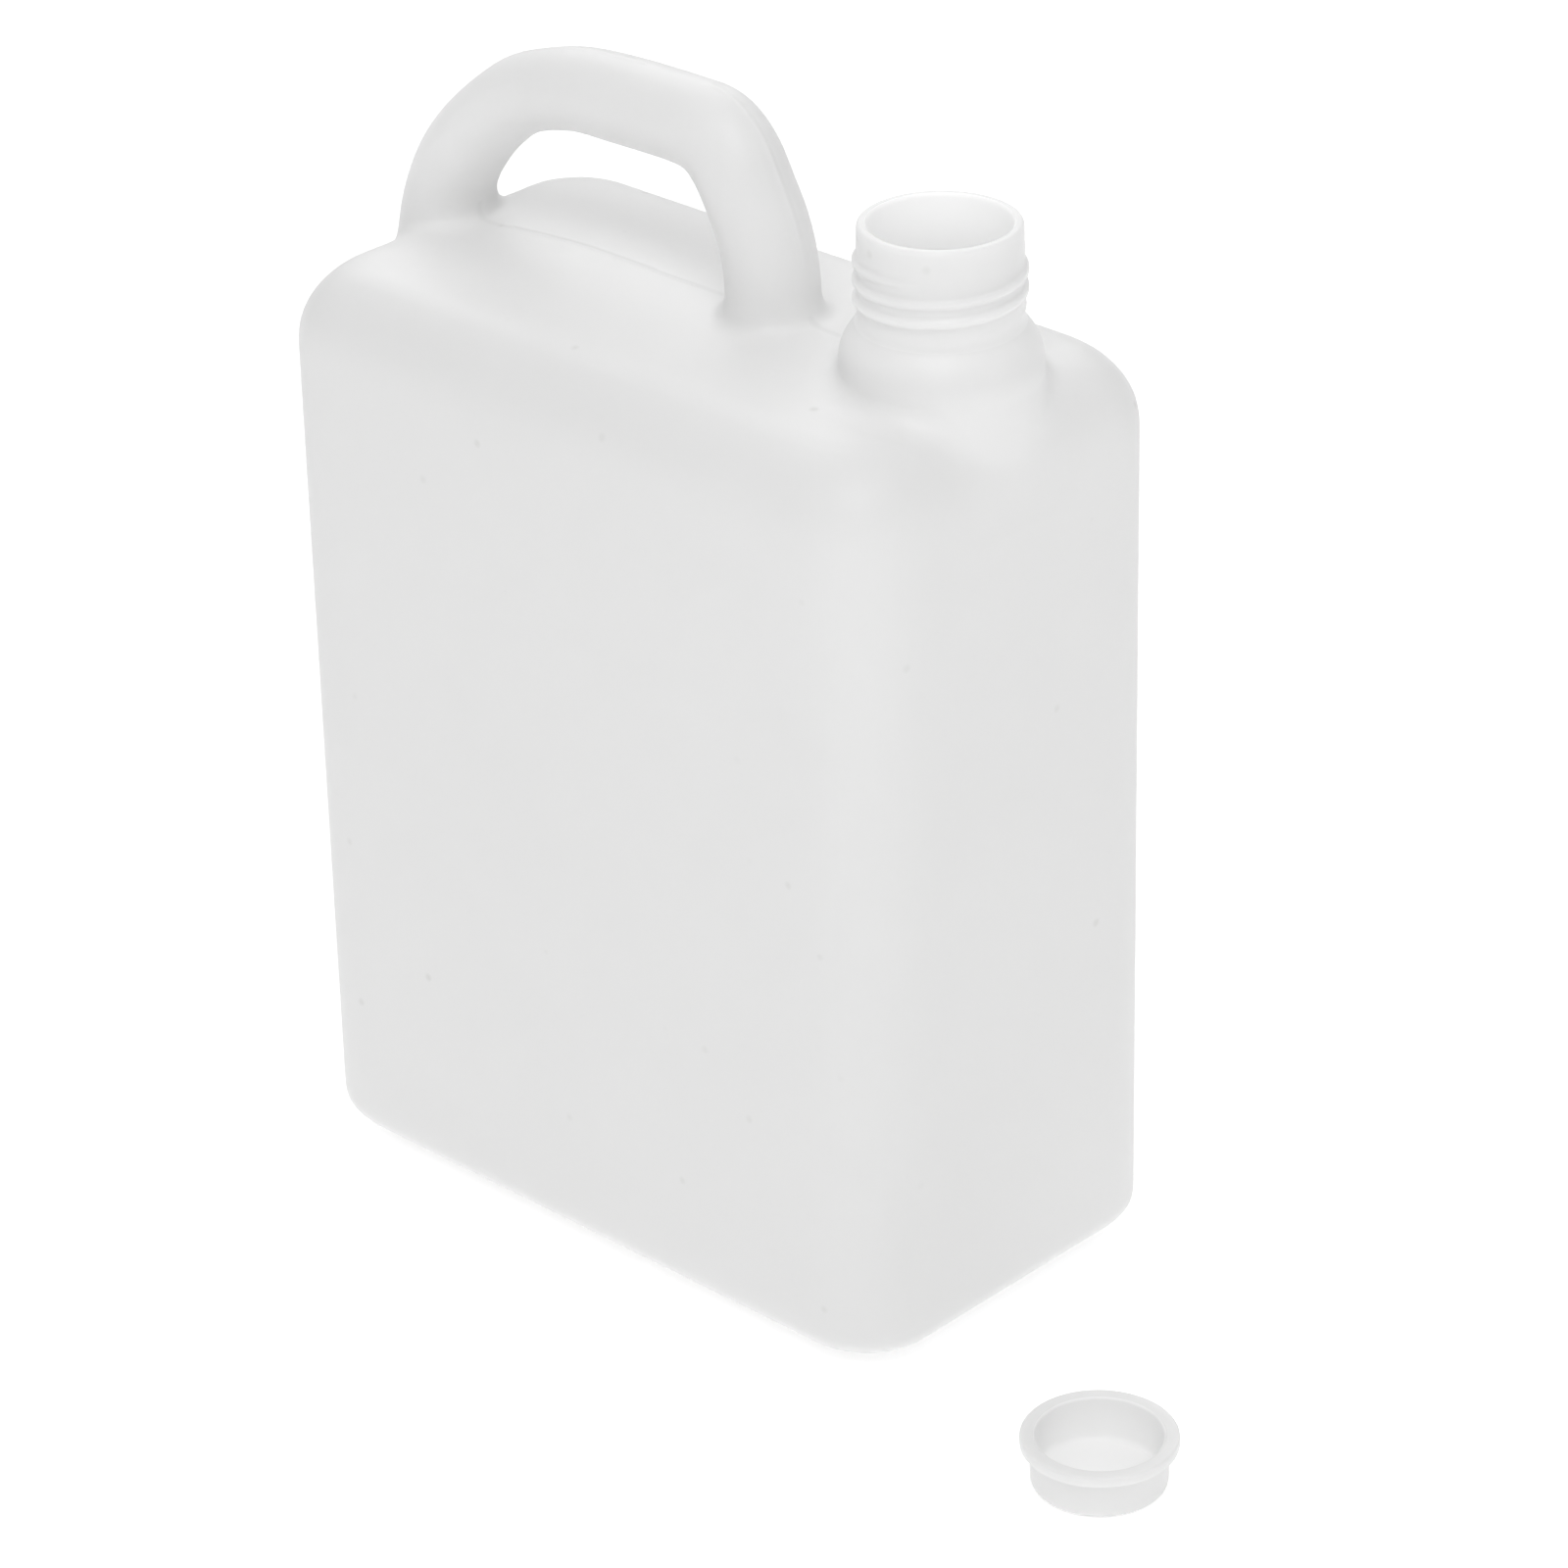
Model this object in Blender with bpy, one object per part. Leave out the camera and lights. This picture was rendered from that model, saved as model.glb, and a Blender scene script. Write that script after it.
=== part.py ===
# Square-shouldered plastic can with a loop handle and an open threaded neck,
# and the small inner plug that belongs in the neck, lying beside it.
# Metres, +Z up. The long side of the can lies along X, the neck is at its +X end.
import math

import bpy
import bmesh
from mathutils import Vector

for old in list(bpy.data.objects):
    bpy.data.objects.remove(old, do_unlink=True)

MM = 0.001

# ---- driving sizes, millimetres ----
BODY_L = 160.0          # along X
BODY_W = 87.0           # along Y
BODY_H = 196.0          # height of the shoulder line
WALL = 1.2
CORNER_R = 14.5         # upright corners
TOP_RX, TOP_RY, TOP_RZ = 13.0, 13.5, 16.0
BASE_RX, BASE_RY, BASE_RZ = 20.0, 14.3, 9.0
CROWN = 3.6             # rise of the top above the shoulder line

NECK_X = 60.3
NECK_TOP = 228.8
BORE_R = 13.6
LIP_R = 15.6
THREAD_ROOT_R = 15.7
THREAD_CREST = 0.8
THREAD_PITCH = 3.8
THREAD_TURNS = 2.9
THREAD_LOW = 211.5      # middle of the first thread
COLLAR_R = 19.4

PLUG_X, PLUG_Y = 130.9, -35.9
PLUG_H = 10.6
PLUG_FLANGE_R = 15.3
PLUG_FLANGE_T = 2.2
PLUG_WALL_R = 13.35
PLUG_BORE_R = 12.3
PLUG_FLOOR = 1.2

# Handle: middle line in the XZ plane and half sizes of its section.
# x, z, half size in the plane of the loop, half size across it
HANDLE = (
    (-66.0, 160.0, 7.0, 8.5),
    (-70.3, 174.0, 8.0, 10.5),
    (-72.6, 187.0, 8.4, 12.4),
    (-72.7, 195.0, 8.3, 11.6),
    (-71.1, 202.9, 8.3, 10.2),
    (-66.0, 211.6, 8.4, 9.2),
    (-58.2, 220.0, 8.05, 8.6),
    (-48.2, 227.1, 8.0, 8.3),
    (-34.5, 231.35, 8.35, 8.3),
    (-22.0, 232.35, 8.8, 8.4),
    (-4.0, 232.6, 8.85, 8.6),
    (3.3, 231.55, 9.55, 8.8),
    (7.95, 227.95, 9.55, 9.0),
    (11.5, 222.2, 9.15, 9.2),
    (15.1, 215.1, 9.1, 9.3),
    (17.0, 207.2, 9.15, 9.5),
    (17.2, 199.0, 9.2, 9.6),
    (17.2, 190.0, 9.2, 9.6),
)
ROOT_FLARE = 3.0        # rounding where the front leg meets the top
HANDLE_WALL = 1.3

# ---- facet counts ----
CORNER_STEPS = 7
EDGE_STEPS = 6
CROWN_STEPS = 5
HANDLE_STEPS = 3        # stations between two rows of HANDLE
HANDLE_SIDES = 20
NECK_SIDES = 48
THREAD_STEPS = 36       # per turn


def add_object(name, verts, faces):
    mesh = bpy.data.meshes.new(name)
    mesh.from_pydata([tuple(c * MM for c in v) for v in verts], [], faces)
    mesh.validate()
    bm = bmesh.new()
    bm.from_mesh(mesh)
    bmesh.ops.recalc_face_normals(bm, faces=bm.faces)
    bm.to_mesh(mesh)
    bm.free()
    ob = bpy.data.objects.new(name, mesh)
    bpy.context.scene.collection.objects.link(ob)
    return ob


def skin(rings):
    """Closed skin over rings of equal count, with a flat cap at each end."""
    n = len(rings[0])
    verts = [p for ring in rings for p in ring]
    faces = []
    for k in range(len(rings) - 1):
        a, b = k * n, (k + 1) * n
        for i in range(n):
            j = (i + 1) % n
            faces.append((a + i, a + j, b + j, b + i))
    faces.append(tuple(reversed(range(n))))
    last = (len(rings) - 1) * n
    faces.append(tuple(last + i for i in range(n)))
    return verts, faces


def rounded_rectangle(half_x, half_y, radius, steps):
    r = max(min(radius, half_x - 0.01, half_y - 0.01), 0.01)
    ring = []
    for sx, sy, start in ((1, 1, 0.0), (-1, 1, 0.5), (-1, -1, 1.0), (1, -1, 1.5)):
        for i in range(steps + 1):
            t = math.pi * (start + 0.5 * i / steps)
            ring.append((sx * (half_x - r) + r * math.cos(t), sy * (half_y - r) + r * math.sin(t)))
    return ring


def crown_height(x, y, half_x, half_y):
    u = min(abs(x) / half_x, 1.0)
    v = min(abs(y) / half_y, 1.0)
    return CROWN * (1.0 - u * u) * (1.0 - v * v)


def can_skin(inset):
    """Skin of the body, moved inward by inset."""
    hx, hy = BODY_L / 2 - inset, BODY_W / 2 - inset
    low, high = inset, BODY_H - inset
    rings = []

    def ring(z, in_x, in_y, radius):
        rings.append([(x, y, z) for x, y in rounded_rectangle(hx - in_x, hy - in_y, radius, CORNER_STEPS)])

    bx, by, bz = BASE_RX - inset, BASE_RY - inset, BASE_RZ - inset
    for i in range(EDGE_STEPS + 1):
        t = 0.5 * math.pi * i / EDGE_STEPS
        s = 1.0 - math.sin(t)
        ring(low + bz * (1.0 - math.cos(t)), s * bx, s * by, CORNER_R - inset - s * 3.0)
    tx, ty, tz = TOP_RX - inset, TOP_RY - inset, TOP_RZ - inset
    for i in range(EDGE_STEPS + 1):
        t = 0.5 * math.pi * i / EDGE_STEPS
        s = 1.0 - math.cos(t)
        ring(high - tz + tz * math.sin(t), s * tx, s * ty, CORNER_R - inset - s * 3.0)
    ex, ey = hx - tx, hy - ty
    for i in range(1, CROWN_STEPS + 1):
        k = 1.0 - i / (CROWN_STEPS + 0.3)
        outline = rounded_rectangle(ex, ey, CORNER_R - inset - 3.0, CORNER_STEPS)
        far = 1.0 - (1.0 - k) * ey / ex
        rings.append([(x * far, y * k, high + crown_height(x * far, y * k, ex, ey)) for x, y in outline])
    return skin(rings)


def spline(rows, steps):
    """Points on a smooth curve through the rows."""
    out = []
    for k in range(len(rows) - 1):
        p0, p1 = rows[max(k - 1, 0)], rows[k]
        p2, p3 = rows[k + 1], rows[min(k + 2, len(rows) - 1)]
        for i in range(steps):
            t = i / steps
            out.append(tuple(
                0.5 * (2 * b + (c - a) * t + (2 * a - 5 * b + 4 * c - d) * t * t + (3 * b - a - 3 * c + d) * t ** 3)
                for a, b, c, d in zip(p0, p1, p2, p3)
            ))
    out.append(tuple(rows[-1]))
    return out


def root_flare(x, z):
    if x < 0.0:
        return 0.0
    top = BODY_H + crown_height(x, 0.0, BODY_L / 2 - TOP_RX, BODY_W / 2 - TOP_RY)
    h = min(max((z - top) / ROOT_FLARE, 0.1), 1.0)
    return ROOT_FLARE * (1.0 - math.sqrt(1.0 - (1.0 - h) ** 2))


def handle_skin(inset, sides, cut_low):
    line = spline(HANDLE, HANDLE_STEPS)
    rings = []
    for k, (x, z, rn, ry) in enumerate(line):
        if z < cut_low:
            continue
        ax, az = line[max(k - 1, 0)][:2]
        bx, bz = line[min(k + 1, len(line) - 1)][:2]
        d = math.hypot(bx - ax, bz - az)
        tx, tz = (bx - ax) / d, (bz - az) / d
        f = root_flare(x, z)
        rn, ry = rn + f - inset, ry + f - inset
        ring = []
        for i in range(sides):
            t = 2.0 * math.pi * (i + 0.5) / sides
            a = rn * math.cos(t)
            ring.append((x - tz * a, ry * math.sin(t), z + tx * a))
        rings.append(ring)
    return skin(rings)


def turned(profile, cx, cy, sides):
    """Solid of revolution about an upright axis, profile rows of radius and height."""
    rings = []
    for r, z in profile:
        rings.append([
            (cx + r * math.cos(2 * math.pi * i / sides), cy + r * math.sin(2 * math.pi * i / sides), z)
            for i in range(sides)
        ])
    return skin(rings)


def thread_skin():
    """Right-handed single thread, running out at both ends."""
    total = int(THREAD_TURNS * THREAD_STEPS)
    base, crest = 1.75, 0.4
    rings = []
    for k in range(total + 1):
        t = 2.0 * math.pi * k / THREAD_STEPS
        z = THREAD_LOW + THREAD_PITCH * k / THREAD_STEPS
        fade = min(k, total - k) / (0.22 * THREAD_STEPS)
        rise = THREAD_CREST * min(1.0, fade) - 0.3 * max(0.0, 1.0 - fade)
        r0, r1 = THREAD_ROOT_R - 0.6, THREAD_ROOT_R + rise
        c, s = math.cos(t), math.sin(t)
        rings.append([
            (NECK_X + r * c, r * s, z + h)
            for r, h in ((r0, -base), (r1, -crest), (r1, crest), (r0, base))
        ])
    return skin(rings)


def combine(target, tool, operation):
    mod = target.modifiers.new("join", "BOOLEAN")
    mod.operation = operation
    mod.solver = "EXACT"
    mod.object = tool
    deps = bpy.context.evaluated_depsgraph_get()
    result = bpy.data.meshes.new_from_object(target.evaluated_get(deps))
    target.modifiers.remove(mod)
    previous = target.data
    target.data = result
    bpy.data.meshes.remove(previous)
    gone = tool.data
    bpy.data.objects.remove(tool, do_unlink=True)
    bpy.data.meshes.remove(gone)


def tidy(ob):
    bm = bmesh.new()
    bm.from_mesh(ob.data)
    bmesh.ops.remove_doubles(bm, verts=bm.verts, dist=0.000002)
    bmesh.ops.dissolve_degenerate(bm, edges=bm.edges, dist=0.000002)
    bmesh.ops.triangulate(bm, faces=[f for f in bm.faces if len(f.verts) > 4])
    bmesh.ops.recalc_face_normals(bm, faces=bm.faces)
    bm.to_mesh(ob.data)
    bm.free()


def plastic(name, color, roughness):
    mat = bpy.data.materials.new(name)
    mat.use_nodes = True
    node = mat.node_tree.nodes["Principled BSDF"]
    node.inputs["Base Color"].default_value = (*color, 1.0)
    node.inputs["Roughness"].default_value = roughness
    return mat


# ---- bottle ----
NECK_OUTSIDE = (
    (COLLAR_R - 1.0, 172.0),
    (COLLAR_R - 0.2, 184.0),
    (COLLAR_R + 0.2, 192.0),
    (COLLAR_R + 0.9, 196.4),
    (COLLAR_R + 0.3, 197.8),
    (COLLAR_R, 199.4),
    (COLLAR_R - 0.2, 203.0),
    (COLLAR_R - 0.9, 205.4),
    (COLLAR_R - 2.1, 207.5),
    (COLLAR_R - 3.2, 209.0),
    (THREAD_ROOT_R, 210.4),
    (THREAD_ROOT_R, 224.2),
    (LIP_R, 225.0),
    (LIP_R, NECK_TOP - 0.9),
    (LIP_R - 0.3, NECK_TOP - 0.25),
    (LIP_R - 0.9, NECK_TOP),
)
NECK_INSIDE = (
    (COLLAR_R - WALL - 1.5, 172.0),
    (COLLAR_R - WALL - 0.6, 184.0),
    (COLLAR_R - WALL, 194.0),
    (COLLAR_R - WALL, 201.0),
    (COLLAR_R - WALL - 1.0, 204.2),
    (COLLAR_R - WALL - 2.5, 207.0),
    (BORE_R, 210.2),
    (BORE_R, NECK_TOP - 0.5),
    (BORE_R + 0.7, NECK_TOP + 1.0),
)

bottle = add_object("bottle", *can_skin(0.0))
combine(bottle, add_object("loop", *handle_skin(0.0, HANDLE_SIDES, 150.0)), "UNION")
combine(bottle, add_object("neck", *turned(NECK_OUTSIDE, NECK_X, 0.0, NECK_SIDES)), "UNION")
combine(bottle, add_object("thread", *thread_skin()), "UNION")

cavity = add_object("cavity", *can_skin(WALL))
combine(cavity, add_object("loop_hollow", *handle_skin(HANDLE_WALL, 14, 150.0)), "UNION")
combine(cavity, add_object("neck_hollow", *turned(NECK_INSIDE, NECK_X, 0.0, NECK_SIDES)), "UNION")
combine(bottle, cavity, "DIFFERENCE")
tidy(bottle)
bottle.data.materials.clear()
bottle.data.materials.append(plastic("bottle_plastic", (0.84, 0.84, 0.83), 0.42))

# ---- plug ----
top = PLUG_H
under = PLUG_H - PLUG_FLANGE_T
PLUG_PROFILE = (
    (PLUG_WALL_R - 1.3, 0.0),
    (PLUG_WALL_R - 0.4, 0.3),
    (PLUG_WALL_R - 0.1, 1.0),
    (PLUG_WALL_R, under),
    (PLUG_FLANGE_R - 0.3, under),
    (PLUG_FLANGE_R, under + 0.4),
    (PLUG_FLANGE_R, top - 0.6),
    (PLUG_FLANGE_R - 0.5, top),
    (PLUG_BORE_R + 0.6, top),
    (PLUG_BORE_R, top - 0.6),
    (PLUG_BORE_R - 0.1, PLUG_FLOOR + 0.8),
    (PLUG_BORE_R - 0.9, PLUG_FLOOR),
)
plug = add_object("plug", *turned(PLUG_PROFILE, PLUG_X, PLUG_Y, NECK_SIDES))
plug.data.materials.append(plastic("plug_plastic", (0.86, 0.86, 0.85), 0.4))

print("bottle", len(bottle.data.polygons), "plug", len(plug.data.polygons))
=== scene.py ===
import math

import bmesh
import bpy
from mathutils import Matrix, Vector
from mathutils.bvhtree import BVHTree


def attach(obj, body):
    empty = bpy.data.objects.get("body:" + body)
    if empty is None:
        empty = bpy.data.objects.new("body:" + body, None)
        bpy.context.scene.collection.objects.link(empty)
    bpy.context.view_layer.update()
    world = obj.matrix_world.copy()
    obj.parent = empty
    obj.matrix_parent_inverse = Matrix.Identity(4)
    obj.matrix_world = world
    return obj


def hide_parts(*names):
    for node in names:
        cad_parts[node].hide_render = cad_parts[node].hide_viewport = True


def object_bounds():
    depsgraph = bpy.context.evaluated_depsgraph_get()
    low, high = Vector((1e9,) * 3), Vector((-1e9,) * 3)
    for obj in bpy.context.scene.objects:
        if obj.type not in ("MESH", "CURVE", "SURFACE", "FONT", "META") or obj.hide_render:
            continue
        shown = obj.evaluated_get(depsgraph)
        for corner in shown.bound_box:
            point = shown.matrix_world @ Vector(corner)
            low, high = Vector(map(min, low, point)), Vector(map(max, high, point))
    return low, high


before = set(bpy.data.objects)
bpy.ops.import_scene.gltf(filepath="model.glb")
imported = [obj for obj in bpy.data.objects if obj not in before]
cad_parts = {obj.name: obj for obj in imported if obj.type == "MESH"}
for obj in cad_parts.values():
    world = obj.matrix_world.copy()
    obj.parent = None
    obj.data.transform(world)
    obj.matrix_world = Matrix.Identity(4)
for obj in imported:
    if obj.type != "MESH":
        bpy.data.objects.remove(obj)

cad_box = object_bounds()
MM = 0.001

# ------------------------------------------------------------------ sizes, millimetres
BODY_L, BODY_W, BODY_H = 160.0, 87.0, 196.0
WALL = 1.2
CORNER_R = 14.5
TOP_RX, TOP_RY, TOP_RZ = 13.0, 13.5, 16.0
BASE_RX, BASE_RY, BASE_RZ = 20.0, 14.3, 9.0
CROWN = 3.6
NECK_X, NECK_TOP = 60.3, 228.8
BORE_R, LIP_R = 13.6, 15.6
THREAD_ROOT_R, THREAD_CREST = 15.7, 0.8
THREAD_PITCH, THREAD_TURNS, THREAD_LOW = 3.8, 2.9, 211.5
COLLAR_R = 19.4
PLUG_X, PLUG_Y, PLUG_H = 130.9, -35.9, 10.6
HANDLE = (
    (-66.0, 160.0, 7.0, 8.5),
    (-70.3, 174.0, 8.0, 10.5),
    (-72.6, 187.0, 8.4, 12.4),
    (-72.7, 195.0, 8.3, 11.6),
    (-71.1, 202.9, 8.3, 10.2),
    (-66.0, 211.6, 8.4, 9.2),
    (-58.2, 220.0, 8.05, 8.6),
    (-48.2, 227.1, 8.0, 8.3),
    (-34.5, 231.35, 8.35, 8.3),
    (-22.0, 232.35, 8.8, 8.4),
    (-4.0, 232.6, 8.85, 8.6),
    (3.3, 231.55, 9.55, 8.8),
    (7.95, 227.95, 9.55, 9.0),
    (11.5, 222.2, 9.15, 9.2),
    (15.1, 215.1, 9.1, 9.3),
    (17.0, 207.2, 9.15, 9.5),
    (17.2, 199.0, 9.2, 9.6),
    (17.2, 190.0, 9.2, 9.6),
)
ROOT_FLARE = 2.0
HANDLE_WALL = 1.3

VOXEL = 0.95


# ------------------------------------------------------------------ mesh helpers, all in millimetres
def new_object(name, verts, faces):
    mesh = bpy.data.meshes.new(name)
    mesh.from_pydata([tuple(v) for v in verts], [], faces)
    mesh.validate()
    bm = bmesh.new()
    bm.from_mesh(mesh)
    bmesh.ops.recalc_face_normals(bm, faces=bm.faces)
    bm.to_mesh(mesh)
    bm.free()
    ob = bpy.data.objects.new(name, mesh)
    bpy.context.scene.collection.objects.link(ob)
    return ob


def skin(rings):
    n = len(rings[0])
    verts = [p for ring in rings for p in ring]
    faces = []
    for k in range(len(rings) - 1):
        a, b = k * n, (k + 1) * n
        for i in range(n):
            j = (i + 1) % n
            faces.append((a + i, a + j, b + j, b + i))
    faces.append(tuple(reversed(range(n))))
    last = (len(rings) - 1) * n
    faces.append(tuple(last + i for i in range(n)))
    return verts, faces


def rounded_rectangle(half_x, half_y, radius, steps):
    r = max(min(radius, half_x - 0.01, half_y - 0.01), 0.01)
    ring = []
    for sx, sy, start in ((1, 1, 0.0), (-1, 1, 0.5), (-1, -1, 1.0), (1, -1, 1.5)):
        for i in range(steps + 1):
            t = math.pi * (start + 0.5 * i / steps)
            ring.append((sx * (half_x - r) + r * math.cos(t), sy * (half_y - r) + r * math.sin(t)))
    return ring


def crown_height(x, y, half_x, half_y):
    u = min(abs(x) / half_x, 1.0)
    v = min(abs(y) / half_y, 1.0)
    return CROWN * (1.0 - u * u) * (1.0 - v * v)


def can_skin(inset, corner_steps, edge_steps, crown_steps):
    hx, hy = BODY_L / 2 - inset, BODY_W / 2 - inset
    low, high = inset, BODY_H - inset
    rings = []

    def ring(z, in_x, in_y, radius):
        rings.append([(x, y, z) for x, y in rounded_rectangle(hx - in_x, hy - in_y, radius, corner_steps)])

    bx, by, bz = BASE_RX - inset, BASE_RY - inset, BASE_RZ - inset
    for i in range(edge_steps + 1):
        t = 0.5 * math.pi * i / edge_steps
        s = 1.0 - math.sin(t)
        ring(low + bz * (1.0 - math.cos(t)), s * bx, s * by, CORNER_R - inset - s * 3.0)
    tx, ty, tz = TOP_RX - inset, TOP_RY - inset, TOP_RZ - inset
    for i in range(edge_steps + 1):
        t = 0.5 * math.pi * i / edge_steps
        s = 1.0 - math.cos(t)
        ring(high - tz + tz * math.sin(t), s * tx, s * ty, CORNER_R - inset - s * 3.0)
    ex, ey = hx - tx, hy - ty
    for i in range(1, crown_steps + 1):
        k = 1.0 - i / (crown_steps + 0.3)
        outline = rounded_rectangle(ex, ey, CORNER_R - inset - 3.0, corner_steps)
        far = 1.0 - (1.0 - k) * ey / ex
        rings.append([(x * far, y * k, high + crown_height(x * far, y * k, ex, ey)) for x, y in outline])
    return skin(rings)


def spline(rows, steps):
    out = []
    for k in range(len(rows) - 1):
        p0, p1 = rows[max(k - 1, 0)], rows[k]
        p2, p3 = rows[k + 1], rows[min(k + 2, len(rows) - 1)]
        for i in range(steps):
            t = i / steps
            out.append(tuple(
                0.5 * (2 * b + (c - a) * t + (2 * a - 5 * b + 4 * c - d) * t * t + (3 * b - a - 3 * c + d) * t ** 3)
                for a, b, c, d in zip(p0, p1, p2, p3)
            ))
    out.append(tuple(rows[-1]))
    return out


def root_flare(x, z):
    if x < 0.0:
        return 0.0
    top = BODY_H + crown_height(x, 0.0, BODY_L / 2 - TOP_RX, BODY_W / 2 - TOP_RY)
    h = min(max((z - top) / ROOT_FLARE, 0.1), 1.0)
    return ROOT_FLARE * (1.0 - math.sqrt(1.0 - (1.0 - h) ** 2))


def handle_skin(inset, sides, steps, cut_low):
    line = spline(HANDLE, steps)
    rings = []
    for k, (x, z, rn, ry) in enumerate(line):
        if z < cut_low:
            continue
        ax, az = line[max(k - 1, 0)][:2]
        bx, bz = line[min(k + 1, len(line) - 1)][:2]
        d = math.hypot(bx - ax, bz - az)
        tx, tz = (bx - ax) / d, (bz - az) / d
        f = root_flare(x, z)
        rn, ry = rn + f - inset, ry + f - inset
        ring = []
        for i in range(sides):
            t = 2.0 * math.pi * (i + 0.5) / sides
            a = rn * math.cos(t)
            ring.append((x - tz * a, ry * math.sin(t), z + tx * a))
        rings.append(ring)
    return skin(rings)


def turned(profile, cx, cy, sides):
    rings = []
    for r, z in profile:
        rings.append([
            (cx + r * math.cos(2 * math.pi * i / sides), cy + r * math.sin(2 * math.pi * i / sides), z)
            for i in range(sides)
        ])
    return skin(rings)


def thread_skin(per_turn):
    total = int(THREAD_TURNS * per_turn)
    rings = []
    for k in range(total + 1):
        t = 2.0 * math.pi * k / per_turn
        z = THREAD_LOW + THREAD_PITCH * k / per_turn
        fade = min(k, total - k) / (0.22 * per_turn)
        rise = THREAD_CREST * min(1.0, fade) - 0.3 * max(0.0, 1.0 - fade)
        r0, r1 = THREAD_ROOT_R - 0.5, THREAD_ROOT_R + rise
        c, s = math.cos(t), math.sin(t)
        rings.append([
            (NECK_X + r * c, r * s, z + h)
            for r, h in ((r0, -1.6), (r0 + 0.72 * (r1 - r0), -0.78), (r1 - 0.05, -0.42), (r1, 0.0),
                         (r1 - 0.05, 0.42), (r0 + 0.72 * (r1 - r0), 0.78), (r0, 1.6))
        ])
    return skin(rings)


def evaluated(ob):
    deps = bpy.context.evaluated_depsgraph_get()
    result = bpy.data.meshes.new_from_object(ob.evaluated_get(deps))
    ob.modifiers.clear()
    previous = ob.data
    ob.data = result
    bpy.data.meshes.remove(previous)


def combine(target, tool, operation):
    mod = target.modifiers.new("join", "BOOLEAN")
    mod.operation = operation
    mod.solver = "EXACT"
    mod.object = tool
    evaluated(target)
    gone = tool.data
    bpy.data.objects.remove(tool, do_unlink=True)
    bpy.data.meshes.remove(gone)


def joined(name, parts):
    verts, faces = [], []
    for v, f in parts:
        base = len(verts)
        verts += list(v)
        faces += [tuple(i + base for i in face) for face in f]
    return new_object(name, verts, faces)


def smooth_near(ob, name, weight_of, factor, rounds):
    group = ob.vertex_groups.new(name=name)
    for v in ob.data.vertices:
        w = weight_of(v.co)
        if w > 0.0:
            group.add([v.index], min(w, 1.0), "REPLACE")
    mod = ob.modifiers.new("soften", "SMOOTH")
    mod.factor = factor
    mod.iterations = rounds
    mod.vertex_group = name
    evaluated(ob)
    ob.vertex_groups.clear()


def ramp(d, full, none):
    return max(0.0, min(1.0, (none - d) / (none - full)))


# ------------------------------------------------------------------ bottle
shell = joined("bottle_skin", (
    can_skin(0.0, 14, 12, 12),
    handle_skin(0.04, 48, 6, 150.0),
    turned((
        (COLLAR_R - 1.0, 172.0),
        (COLLAR_R - 0.2, 184.0),
        (COLLAR_R + 0.1, 192.0),
        (COLLAR_R + 0.4, 196.4),
        (COLLAR_R + 0.1, 198.6),
        (COLLAR_R, 201.5),
        (COLLAR_R - 3.0, 201.8),
    ), NECK_X, 0.0, 96),
))
remesh = shell.modifiers.new("even", "REMESH")
remesh.mode = "VOXEL"
remesh.voxel_size = VOXEL
evaluated(shell)

soft = shell.modifiers.new("soften", "SMOOTH")
soft.factor = 0.5
soft.iterations = 6
evaluated(shell)


def near_roots(p):
    front = math.hypot(p.x - 17.2, p.y)
    rear = math.hypot((p.x + 70.0) * 0.8, p.y)
    a = ramp(front, 15.0, 24.0) * ramp(abs(p.z - 200.0), 6.0, 12.0)
    b = ramp(rear, 17.0, 26.0) * ramp(abs(p.z - 190.0), 16.0, 26.0)
    c = ramp(abs(math.hypot(p.x - NECK_X, p.y) - COLLAR_R - 0.5), 2.0, 5.0) * ramp(abs(p.z - 190.0), 8.0, 10.0)
    return max(a, b, c)


smooth_near(shell, "roots", near_roots, 0.5, 12 if VOXEL < 1.2 else 5)
smooth_near(shell, "rear", lambda p: ramp(math.hypot((p.x + 68.0) * 0.8, p.y), 18.0, 26.0) * ramp(abs(p.z - 192.0), 12.0, 20.0), 0.5, 34 if VOXEL < 1.2 else 12)


def near_collar(p):
    away = abs(math.hypot(p.x - NECK_X, p.y) - 20.0)
    return ramp(away, 4.0, 7.0) * ramp(p.z, 200.4, 201.4) * ramp(-p.z, -160.0, -150.0)


smooth_near(shell, "collar", near_collar, 0.5, 45 if VOXEL < 1.2 else 16)

thin = shell.modifiers.new("thin", "DECIMATE")
thin.ratio = 0.34 if VOXEL < 1.2 else 0.5
evaluated(shell)

NECK_OUTSIDE = [
    (COLLAR_R - 1.2, 190.0),
    (COLLAR_R + 0.04, 199.4),
    (COLLAR_R, 200.6),
    (COLLAR_R - 0.07, 201.8),
    (COLLAR_R - 0.2, 203.0),
    (COLLAR_R - 0.47, 204.2),
    (COLLAR_R - 0.88, 205.4),
    (COLLAR_R - 1.45, 206.5),
    (COLLAR_R - 2.12, 207.5),
    (COLLAR_R - 2.72, 208.3),
    (COLLAR_R - 3.2, 209.0),
    (COLLAR_R - 3.48, 209.6),
    (THREAD_ROOT_R + 0.03, 210.4),
    (THREAD_ROOT_R, 211.4),
]
NECK_OUTSIDE += [(THREAD_ROOT_R, 224.1), (LIP_R + 0.02, 224.8), (LIP_R, NECK_TOP - 1.2)]
for i in range(1, 6):
    t = 0.5 * math.pi * i / 5
    NECK_OUTSIDE.append((LIP_R - 0.75 * (1 - math.cos(t)), NECK_TOP - 1.0 + 1.0 * math.sin(t)))
neck = new_object("neck_skin", *turned(NECK_OUTSIDE, NECK_X, 0.0, 96))
combine(neck, new_object("thread_skin", *thread_skin(72)), "UNION")
combine(shell, neck, "UNION")

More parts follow.
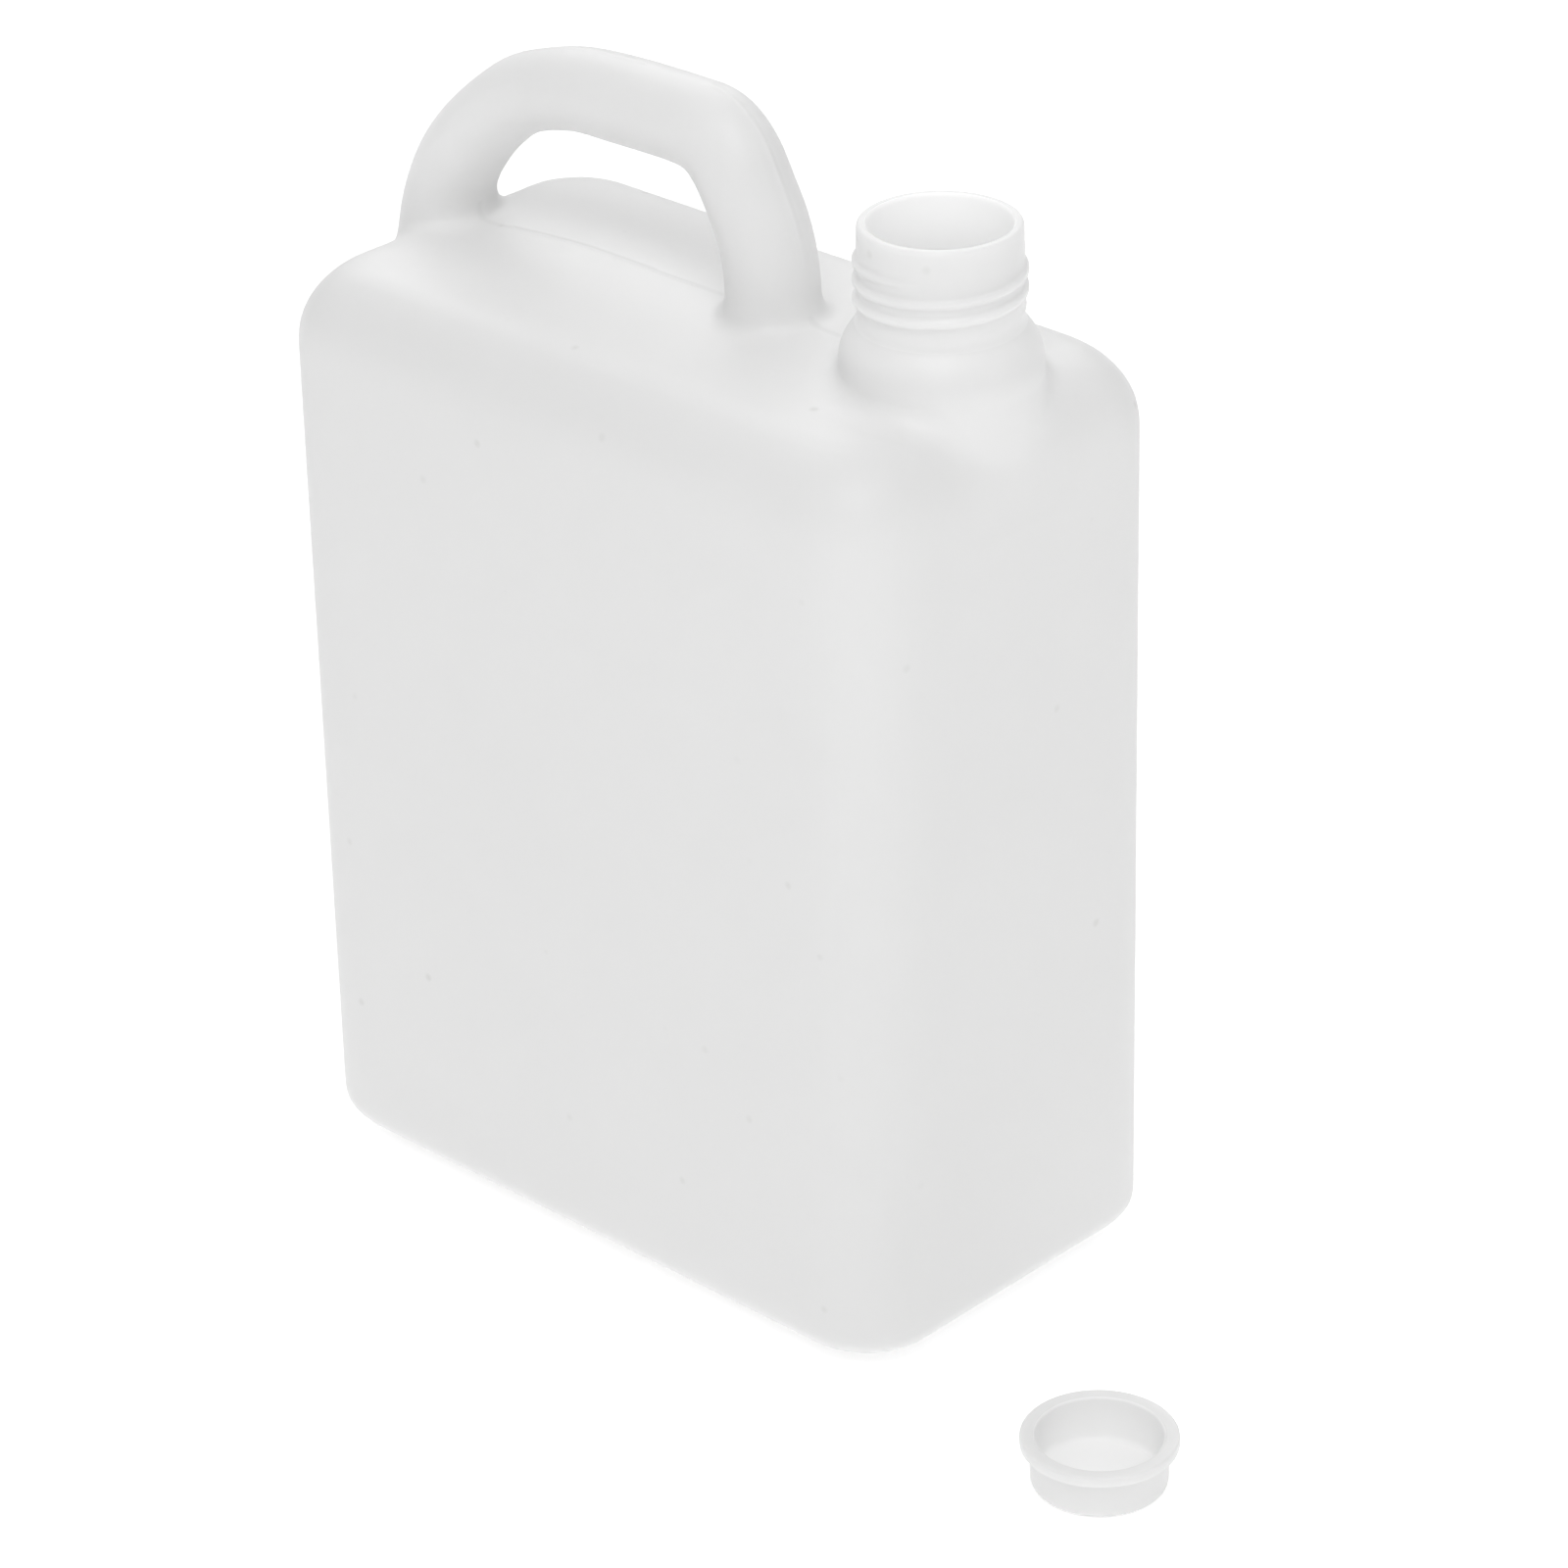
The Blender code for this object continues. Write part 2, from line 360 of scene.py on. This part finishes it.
NECK_INSIDE = (
    (COLLAR_R - WALL - 1.5, 172.0),
    (COLLAR_R - WALL - 0.6, 184.0),
    (COLLAR_R - WALL, 194.0),
    (COLLAR_R - WALL, 200.4),
    (COLLAR_R - WALL - 0.25, 202.0),
    (COLLAR_R - WALL - 0.7, 203.6),
    (COLLAR_R - WALL - 1.4, 205.2),
    (COLLAR_R - WALL - 2.4, 206.8),
    (COLLAR_R - WALL - 3.4, 208.2),
    (BORE_R + 0.5, 209.4),
    (BORE_R, 210.8),
    (BORE_R, NECK_TOP - 0.8),
    (BORE_R + 0.25, NECK_TOP - 0.25),
    (BORE_R + 1.2, NECK_TOP + 0.9),
)
cavity = new_object("cavity", *can_skin(WALL, 10, 8, 8))
combine(cavity, new_object("loop_hollow", *handle_skin(HANDLE_WALL + 0.1, 24, 4, 150.0)), "UNION")
combine(cavity, new_object("neck_hollow", *turned(NECK_INSIDE, NECK_X, 0.0, 96)), "UNION")
combine(shell, cavity, "DIFFERENCE")


# Mould parting line: a fine raised bead where the skin crosses the middle plane,
# over the crest of the handle and along the top between handle and collar.
def bead(ob, path, half_width, height):
    deps = bpy.context.evaluated_depsgraph_get()
    tree = BVHTree.FromObject(ob, deps)
    rows = []
    for x, z, nx, nz in path:
        n = Vector((nx, 0.0, nz)).normalized()
        hit = tree.ray_cast(Vector((x, 0.013, z)) + n * 4.0, -n, 8.0)[0]
        if hit is not None:
            rows.append((Vector((hit.x, 0.0, hit.z)), n))
    rings = []
    for k, (p, n) in enumerate(rows):
        fade = min(1.0, min(k, len(rows) - 1 - k) / 4.0)
        top = height * fade - 0.25 * (1.0 - fade)
        rings.append([
            p + Vector((0.0, w * half_width, 0.0)) + n * (h if h < 0 else h * (top + 0.05) - 0.05)
            for w, h in ((-1.25, -0.4), (-0.95, 0.1), (-0.55, 0.75), (0.0, 1.0), (0.55, 0.75), (0.95, 0.1), (1.25, -0.4))
        ])
    return skin(rings)


crest = []
line = spline(HANDLE, 5)
for k in range(1, len(line) - 1):
    x, z, rn, ry = line[k]
    dx, dz = line[k + 1][0] - line[k - 1][0], line[k + 1][1] - line[k - 1][1]
    d = math.hypot(dx, dz)
    nx, nz = -dz / d, dx / d
    if z > (204.0 if x < 0.0 else 203.0):
        crest.append((x + nx * rn, z + nz * rn, nx, nz))
ridge = []
for k in range(61):
    x = -61.0 + (39.6 + 61.0) * k / 60
    if not 4.0 < x < 30.0:
        ridge.append((x, BODY_H + crown_height(x, 0.0, BODY_L / 2 - TOP_RX, BODY_W / 2 - TOP_RY), 0.0, 1.0))
for path in (crest, [r for r in ridge if r[0] < 4.0], [r for r in ridge if r[0] > 30.0]):
    combine(shell, new_object("bead", *bead(shell, path, 0.70, 0.17)), "UNION")


def finish_mesh(ob, angle):
    bm = bmesh.new()
    bm.from_mesh(ob.data)
    bmesh.ops.remove_doubles(bm, verts=bm.verts, dist=0.004)
    bmesh.ops.dissolve_degenerate(bm, edges=bm.edges, dist=0.003)
    bmesh.ops.triangulate(bm, faces=[f for f in bm.faces if len(f.verts) > 4])
    # short edges left by the joining that don't lie between exactly two faces
    for _ in range(3):
        odd = [e for e in bm.edges if len(e.link_faces) != 2 and e.calc_length() < 0.6]
        if odd:
            bmesh.ops.collapse(bm, edges=odd)
    bmesh.ops.recalc_face_normals(bm, faces=bm.faces)
    bm.to_mesh(ob.data)
    bad = sum(1 for e in bm.edges if len(e.link_faces) != 2)
    print(ob.name, "faces", len(bm.faces), "open edges", bad)
    bm.free()
    ob.data.transform(Matrix.Scale(MM, 4))
    low, high = cad_box
    for v in ob.data.vertices:
        for i in range(3):
            v.co[i] = min(max(v.co[i], low[i] + 1e-6), high[i] - 1e-6)
    ob.data.shade_smooth()
    ob.data.set_sharp_from_angle(angle=angle)


finish_mesh(shell, math.radians(50))

# ------------------------------------------------------------------ plug
top, under = PLUG_H, PLUG_H - 2.2
profile = [(11.95, 0.0)]
for i in range(1, 7):
    t = 0.5 * math.pi * i / 6
    profile.append((12.0 + 1.25 * math.sin(t), 1.2 * (1 - math.cos(t))))
profile += [(13.33, under - 0.35), (13.5, under), (15.0, under)]
for i in range(1, 5):
    t = 0.5 * math.pi * i / 4
    profile.append((14.95 + 0.35 * math.sin(t), under + 0.35 * (1 - math.cos(t))))
for i in range(0, 5):
    t = 0.5 * math.pi * i / 4
    profile.append((14.8 + 0.5 * math.cos(t), top - 0.5 + 0.5 * math.sin(t)))
for i in range(0, 5):
    t = 0.5 * math.pi * i / 4
    profile.append((12.9 - 0.6 * math.sin(t), top - 0.6 * (1 - math.cos(t))))
profile += [(12.25, top - 3.0), (12.2, 2.6)]
for i in range(1, 5):
    t = 0.5 * math.pi * i / 4
    profile.append((11.0 + 1.2 * math.cos(t), 2.4 - 1.2 * math.sin(t)))
profile += [(6.0, 1.2), (2.2, 1.2), (1.6, 1.05)]
plug = new_object("plug_skin", *turned(profile, PLUG_X, PLUG_Y, 96))
finish_mesh(plug, math.radians(50))


# ------------------------------------------------------------------ materials
def plastic(name, base, bright, dark, neck=None, painted_glow=0.0, spread=0.003, seam_and_painted_light=False):
    mat = bpy.data.materials.new(name)
    mat.use_nodes = True
    nt = mat.node_tree
    n, l = nt.nodes, nt.links
    shader = n["Principled BSDF"]
    coord = n.new("ShaderNodeTexCoord")

    def noise(scale, detail, rough):
        node = n.new("ShaderNodeTexNoise")
        node.inputs["Scale"].default_value = scale
        node.inputs["Detail"].default_value = detail
        node.inputs["Roughness"].default_value = rough
        l.new(coord.outputs["Object"], node.inputs["Vector"])
        return node

    def mapped(source, a, b, lo, hi):
        node = n.new("ShaderNodeMapRange")
        node.inputs["From Min"].default_value = a
        node.inputs["From Max"].default_value = b
        node.inputs["To Min"].default_value = lo
        node.inputs["To Max"].default_value = hi
        l.new(source, node.inputs["Value"])
        return node.outputs["Result"]

    # slow variation of the milky tone
    cloud = noise(14.0, 3.0, 0.55)
    tone = n.new("ShaderNodeMix")
    tone.data_type = "RGBA"
    l.new(mapped(cloud.outputs["Fac"], 0.35, 0.65, 0.0, 1.0), tone.inputs[0])
    tone.inputs[6].default_value = (*dark, 1.0)
    tone.inputs[7].default_value = (*bright, 1.0)

    # painted light and shade by height round the neck: rows of height in metres and tone, set lighter or darker to
    # stand in for how the light falls on the collar and neck
    milky = tone.outputs[2]
    part = n.new("ShaderNodeSeparateXYZ")
    l.new(coord.outputs["Object"], part.inputs[0])
    # painted shade: slightly darker tone round the foot, near the floor
    if seam_and_painted_light:
        foot_shade = n.new("ShaderNodeMix")
        foot_shade.data_type = "RGBA"
        l.new(mapped(part.outputs["Z"], 0.0, 0.009, 0.75, 0.0), foot_shade.inputs[0])
        l.new(milky, foot_shade.inputs[6])
        foot_shade.blend_type = "MULTIPLY"
        foot_shade.inputs[7].default_value = (0.98, 0.98, 0.98, 1.0)
        milky = foot_shade.outputs[2]

    # painted light: paler tone on the rear leg of the loop, which the lamps leave too dark
    if seam_and_painted_light:
        rear = n.new("ShaderNodeMath")
        rear.operation = "MULTIPLY"
        l.new(mapped(part.outputs["X"], -0.062, -0.040, 1.0, 0.0), rear.inputs[0])
        l.new(mapped(part.outputs["Z"], 0.194, 0.206, 0.0, 1.0), rear.inputs[1])
        painted_rear_light = n.new("ShaderNodeMix")
        painted_rear_light.data_type = "RGBA"
        l.new(rear.outputs[0], painted_rear_light.inputs[0])
        l.new(milky, painted_rear_light.inputs[6])
        painted_rear_light.inputs[7].default_value = (0.905, 0.905, 0.903, 1.0)
        milky = painted_rear_light.outputs[2]

    # the parting line of the mould shows a touch darker along the top
    if seam_and_painted_light:
        away = n.new("ShaderNodeMath")
        away.operation = "ABSOLUTE"
        l.new(part.outputs["Y"], away.inputs[0])
        on_top = n.new("ShaderNodeMath")
        on_top.operation = "MULTIPLY"
        l.new(mapped(part.outputs["Z"], 0.193, 0.196, 0.0, 1.0), on_top.inputs[0])
        l.new(mapped(part.outputs["Z"], 0.2000, 0.2008, 1.0, 0.0), on_top.inputs[1])
        line = n.new("ShaderNodeMath")
        line.operation = "MULTIPLY"
        l.new(mapped(away.outputs[0], 0.0003, 0.0011, 1.0, 0.0), line.inputs[0])
        l.new(on_top.outputs[0], line.inputs[1])
        seamed = n.new("ShaderNodeMix")
        seamed.data_type = "RGBA"
        l.new(line.outputs[0], seamed.inputs[0])
        l.new(milky, seamed.inputs[6])
        seamed.blend_type = "MULTIPLY"
        seamed.inputs[7].default_value = (0.95, 0.95, 0.95, 1.0)
        milky = seamed.outputs[2]
    # painted light and shade: the tone rows replace the milky tone on the neck and round the collar
    if neck is not None:
        low, high = neck[0][0], neck[-1][0]
        by_height = n.new("ShaderNodeValToRGB")
        by_height.color_ramp.interpolation = "EASE"
        stops = by_height.color_ramp.elements
        while len(stops) < len(neck):
            stops.new(0.5)
        for stop, (z, grey) in zip(stops, neck):
            stop.position = (z - low) / (high - low)
        for stop, (z, grey) in zip(stops, neck):
            stop.color = (grey, grey, grey * 0.998, 1.0)
        l.new(mapped(part.outputs["Z"], low, high, 0.0, 1.0), by_height.inputs["Fac"])
        here = n.new("ShaderNodeMath")
        here.operation = "MULTIPLY"
        l.new(mapped(part.outputs["Z"], low - 0.0005, low + 0.0005, 0.0, 1.0), here.inputs[0])
        flat = n.new("ShaderNodeCombineXYZ")
        l.new(part.outputs["X"], flat.inputs[0])
        l.new(part.outputs["Y"], flat.inputs[1])
        from_axis = n.new("ShaderNodeVectorMath")
        from_axis.operation = "DISTANCE"
        l.new(flat.outputs[0], from_axis.inputs[0])
        from_axis.inputs[1].default_value = (NECK_X * MM, 0.0, 0.0)
        l.new(mapped(from_axis.outputs["Value"], 0.0212, 0.0262, 1.0, 0.0), here.inputs[1])
        painted_neck_shade = n.new("ShaderNodeMix")
        painted_neck_shade.data_type = "RGBA"
        l.new(here.outputs[0], painted_neck_shade.inputs[0])
        l.new(milky, painted_neck_shade.inputs[6])
        l.new(by_height.outputs["Color"], painted_neck_shade.inputs[7])
        milky = painted_neck_shade.outputs[2]

    # a few tiny specks in the resin
    specks = n.new("ShaderNodeTexVoronoi")
    specks.inputs["Scale"].default_value = 75.0
    l.new(coord.outputs["Object"], specks.inputs["Vector"])
    dot = mapped(specks.outputs["Distance"], 0.03, 0.085, 1.0, 0.0)
    rare = noise(31.0, 1.0, 0.5)
    few = mapped(rare.outputs["Fac"], 0.38, 0.60, 0.0, 1.0)
    both = n.new("ShaderNodeMath")
    both.operation = "MULTIPLY"
    l.new(dot, both.inputs[0])
    l.new(few, both.inputs[1])
    spotted = n.new("ShaderNodeMix")
    spotted.data_type = "RGBA"
    l.new(both.outputs[0], spotted.inputs[0])
    l.new(milky, spotted.inputs[6])
    spotted.blend_type = "MULTIPLY"
    spotted.inputs[7].default_value = (0.90, 0.90, 0.89, 1.0)
    l.new(spotted.outputs[2], shader.inputs["Base Color"])

    # painted light: a faint glow that stands in for light coming through the thin translucent wall
    if painted_glow:
        shader.inputs["Emission Color"].default_value = (1.0, 1.0, 1.0, 1.0)
        shader.inputs["Emission Strength"].default_value = painted_glow
    shader.inputs["Subsurface Weight"].default_value = 0.65
    shader.inputs["Subsurface Radius"].default_value = (1.0, 1.0, 1.0)
    shader.inputs["Subsurface Scale"].default_value = spread
    shader.inputs["Specular IOR Level"].default_value = 0.3
    shader.inputs["IOR"].default_value = 1.5
    fine = noise(420.0, 3.0, 0.6)
    l.new(mapped(fine.outputs["Fac"], 0.3, 0.7, 0.36, 0.46), shader.inputs["Roughness"])

    # faint orange-peel of a blown wall, and its slow waves
    wave = noise(45.0, 2.0, 0.5)
    peel = n.new("ShaderNodeBump")
    peel.inputs["Strength"].default_value = 0.10
    peel.inputs["Distance"].default_value = 0.0002
    l.new(fine.outputs["Fac"], peel.inputs["Height"])
    slow = n.new("ShaderNodeBump")
    slow.inputs["Strength"].default_value = 0.12
    slow.inputs["Distance"].default_value = 0.001
    l.new(wave.outputs["Fac"], slow.inputs["Height"])
    l.new(peel.outputs["Normal"], slow.inputs["Normal"])
    l.new(slow.outputs["Normal"], shader.inputs["Normal"])
    return mat


# the bottle's tone rows round the collar are painted light and shade; its darker foot is painted shade and its paler
# rear leg painted light
bottle_mat = plastic("milky_polyethylene", (0.838, 0.838, 0.836), (0.846, 0.846, 0.844), (0.832, 0.832, 0.830),
                     neck=((0.172, 0.838), (0.186, 0.864), (0.1985, 0.864), (0.2035, 0.80), (0.208, 0.835)), seam_and_painted_light=True)
# the neck's darkening tone rows are painted shade and its glow is painted light
neck_painted_mat = plastic("milky_polyethylene_neck", (0.86, 0.86, 0.858), (0.865, 0.865, 0.863), (0.855, 0.855, 0.853),
                   neck=((0.2085, 0.72), (0.2135, 0.655), (0.2215, 0.60)), painted_glow=0.14, spread=0.007)
# painted light: a lighter, faintly glowing copy of the plastic inside the neck
bore_lit_mat = plastic("milky_polyethylene_bore", (0.93, 0.93, 0.928), (0.94, 0.94, 0.938), (0.92, 0.92, 0.918), painted_glow=0.09)
# painted light and shade: a darker copy of the plastic on the plug wall and a lighter one inside its cup
plug_shaded_mat = plastic("milky_polyethylene_plug", (0.775, 0.775, 0.773), (0.782, 0.782, 0.780), (0.77, 0.77, 0.768))
cup_lit_mat = plastic("milky_polyethylene_cup", (0.895, 0.895, 0.893), (0.905, 0.905, 0.903), (0.885, 0.885, 0.883))


def painted(ob, mat, cx, cy, inner, outer, low, high):
    """Gives mat to the faces between two radii about an upright axis and between two heights."""
    ob.data.materials.append(mat)
    index = len(ob.data.materials) - 1
    for f in ob.data.polygons:
        c = f.center / MM
        if low < c.z < high and inner < math.hypot(c.x - cx, c.y - cy) < outer:
            f.material_index = index


for ob, mat, node, slot in ((shell, bottle_mat, "bottle", "bottle_plastic"), (plug, plug_shaded_mat, "plug", "plug_plastic")):
    ob.data.materials.clear()
    ob.data.materials.append(mat)
    if ob is shell:
        painted(ob, bore_lit_mat, NECK_X, 0.0, -1.0, 14.3, 197.0, 240.0)
        painted(ob, neck_painted_mat, NECK_X, 0.0, 14.3, 18.0, 209.0, 240.0)
    else:
        painted(ob, cup_lit_mat, PLUG_X, PLUG_Y, -1.0, 12.75, 0.9, 20.0)
    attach(ob, "root")
    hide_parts(node)

# ------------------------------------------------------------------ stage
floor_mesh = bpy.data.meshes.new("floor")
floor_mesh.from_pydata([(-6, -6, 0), (6, -6, 0), (6, 6, 0), (-6, 6, 0)], [], [(0, 1, 2, 3)])
floor = bpy.data.objects.new("floor", floor_mesh)
floor.location.z = -0.0002
bpy.context.scene.collection.objects.link(floor)
floor_mat = bpy.data.materials.new("pale_floor")
floor_mat.use_nodes = True
fs = floor_mat.node_tree.nodes["Principled BSDF"]
fs.inputs["Base Color"].default_value = (0.90, 0.90, 0.90, 1.0)
fs.inputs["Emission Color"].default_value = (1.0, 1.0, 1.0, 1.0)
fs.inputs["Emission Strength"].default_value = 0.365
fs.inputs["Roughness"].default_value = 0.9
fs.inputs["Specular IOR Level"].default_value = 0.1
floor.data.materials.append(floor_mat)

world = bpy.data.worlds.new("studio")
bpy.context.scene.world = world
world.use_nodes = True
bg = world.node_tree.nodes["Background"]
sky = world.node_tree.nodes
way = sky.new("ShaderNodeTexCoord")
part = sky.new("ShaderNodeSeparateXYZ")
level = sky.new("ShaderNodeMapRange")
level.inputs["From Min"].default_value = 0.0
level.inputs["From Max"].default_value = 0.9
level.inputs["To Min"].default_value = 0.345
level.inputs["To Max"].default_value = 0.71
world.node_tree.links.new(way.outputs["Generated"], part.inputs[0])
world.node_tree.links.new(part.outputs["Z"], level.inputs["Value"])
bg.inputs["Color"].default_value = (1.0, 1.0, 1.0, 1.0)
world.node_tree.links.new(level.outputs["Result"], bg.inputs["Strength"])


def softbox(name, azimuth, elevation, distance, size, power):
    data = bpy.data.lights.new(name, "AREA")
    data.shape = "SQUARE"
    data.size = size
    data.energy = power
    ob = bpy.data.objects.new(name, data)
    az, el = math.radians(azimuth), math.radians(elevation)
    aim = Vector((0.0, 0.0, 0.1))
    at = aim + distance * Vector((math.cos(el) * math.cos(az), math.cos(el) * math.sin(az), math.sin(el)))
    ob.location = at
    ob.rotation_euler = (aim - at).to_track_quat("-Z", "Y").to_euler()
    bpy.context.scene.collection.objects.link(ob)
    return ob


softbox("softbox_back", 136.0, 38.0, 3.0, 2.4, 24.0)
softbox("softbox_front", -46.0, 55.0, 1.1, 0.6, 3.95)

# ------------------------------------------------------------------ camera
cam_data = bpy.data.cameras.new("camera")
cam_data.sensor_fit = "HORIZONTAL"
cam_data.sensor_width = 36.0
cam_data.lens = 36.0 * 6028.27 / 1600.0
cam_data.clip_start = 0.05
cam_data.clip_end = 50.0
cam = bpy.data.objects.new("camera", cam_data)
right = Vector((0.7284, 0.6848, -0.0203)).normalized()
ahead = Vector((-0.6140, 0.6393, -0.4629)).normalized()
up = right.cross(ahead).normalized()
right = ahead.cross(up).normalized()
cam.matrix_world = Matrix((
    (right.x, up.x, -ahead.x, 0.73978),
    (right.y, up.y, -ahead.y, -0.75245),
    (right.z, up.z, -ahead.z, 0.64164),
    (0, 0, 0, 1),
))
bpy.context.scene.collection.objects.link(cam)
bpy.context.scene.camera = cam

view = bpy.context.scene.view_settings
view.view_transform = "Standard"
view.look = "None"
view.exposure = 0.0
view.gamma = 1.0
